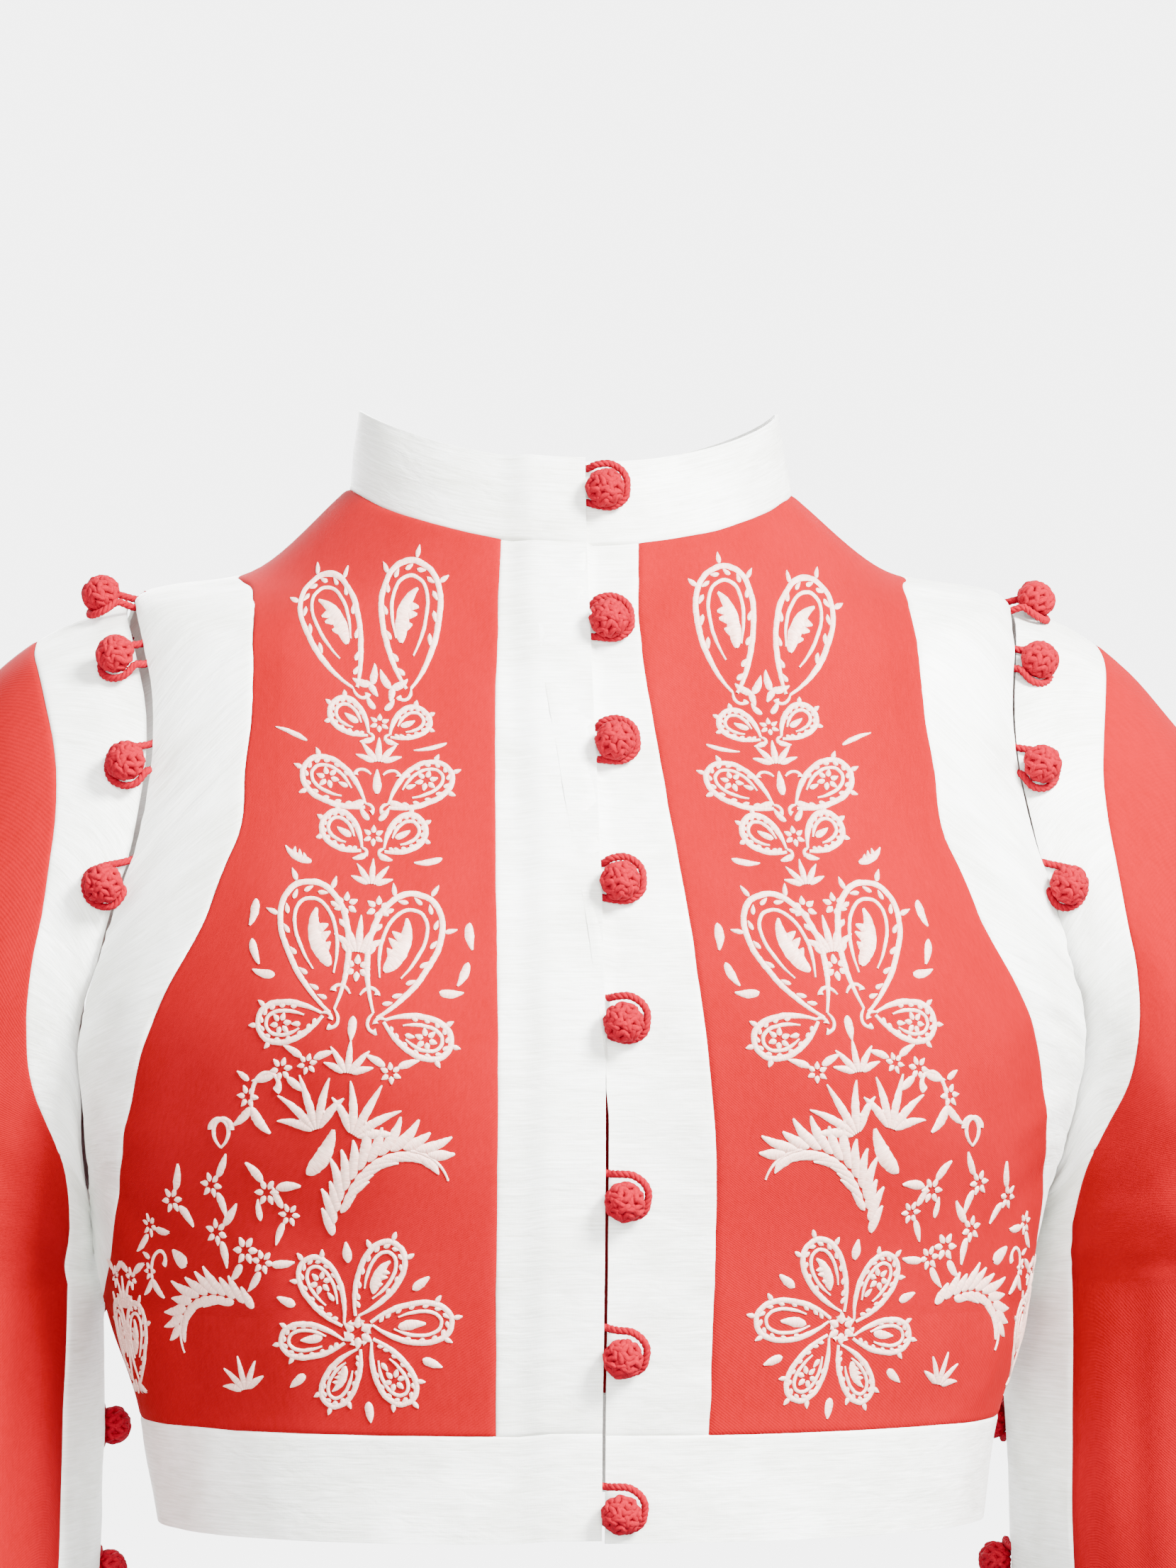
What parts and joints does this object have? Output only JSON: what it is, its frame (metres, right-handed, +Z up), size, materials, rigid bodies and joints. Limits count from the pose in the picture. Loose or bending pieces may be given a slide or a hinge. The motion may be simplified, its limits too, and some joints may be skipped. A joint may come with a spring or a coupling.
{
  "type": "bolero",
  "caption": "Cropped bolero jacket with a stand collar, contrast bands, ball buttons in cord loops and separate buttoned-on sleeves, in worn form.",
  "frame": {"origin": "middle of the neck, at the height where the shoulder seams meet the collar", "axes": "+Z up, -Y towards the front that the wearer faces, +X to the wearer's left"},
  "size_m": [0.5396, 0.2276, 0.6264],
  "materials": {
    "red_crepe": "matte fine twill, coral red",
    "cream_silk": "soft slubby silk, cream",
    "red_cord": "knotted and crocheted cord, deep red"
  },
  "bodies": {
    "root": {"collar": "cream_silk", "back": "red_crepe", "hem_band_back": "cream_silk", "front_right": "red_crepe", "placket_right": "cream_silk", "hem_band_right": "cream_silk", "sleeve_right": "red_crepe", "armhole_band_right_front": "cream_silk", "armhole_band_right_back": "cream_silk", "sleeve_band_right_front": "cream_silk", "sleeve_band_right_back": "cream_silk", "slit_band_right_front": "cream_silk", "slit_band_right_back": "cream_silk", "front_left": "red_crepe", "placket_left": "cream_silk", "hem_band_left": "cream_silk", "sleeve_left": "red_crepe", "armhole_band_left_front": "cream_silk", "armhole_band_left_back": "cream_silk", "sleeve_band_left_front": "cream_silk", "sleeve_band_left_back": "cream_silk", "slit_band_left_front": "cream_silk", "slit_band_left_back": "cream_silk", "front_button_1": "red_cord", "front_button_2": "red_cord", "front_button_3": "red_cord", "front_button_4": "red_cord", "front_button_5": "red_cord", "front_button_6": "red_cord", "front_button_7": "red_cord", "front_button_8": "red_cord", "armhole_button_right_1": "red_cord", "armhole_button_right_2": "red_cord", "armhole_button_right_3": "red_cord", "armhole_button_right_4": "red_cord", "armhole_button_right_5": "red_cord", "armhole_button_right_6": "red_cord", "armhole_button_right_7": "red_cord", "slit_button_right_1": "red_cord", "slit_button_right_2": "red_cord", "slit_button_right_3": "red_cord", "slit_button_right_4": "red_cord", "slit_button_right_5": "red_cord", "slit_button_right_6": "red_cord", "slit_button_right_7": "red_cord", "armhole_button_left_1": "red_cord", "armhole_button_left_2": "red_cord", "armhole_button_left_3": "red_cord", "armhole_button_left_4": "red_cord", "armhole_button_left_5": "red_cord", "armhole_button_left_6": "red_cord", "armhole_button_left_7": "red_cord", "slit_button_left_1": "red_cord", "slit_button_left_2": "red_cord", "slit_button_left_3": "red_cord", "slit_button_left_4": "red_cord", "slit_button_left_5": "red_cord", "slit_button_left_6": "red_cord", "slit_button_left_7": "red_cord"}
  },
  "joints": []
}
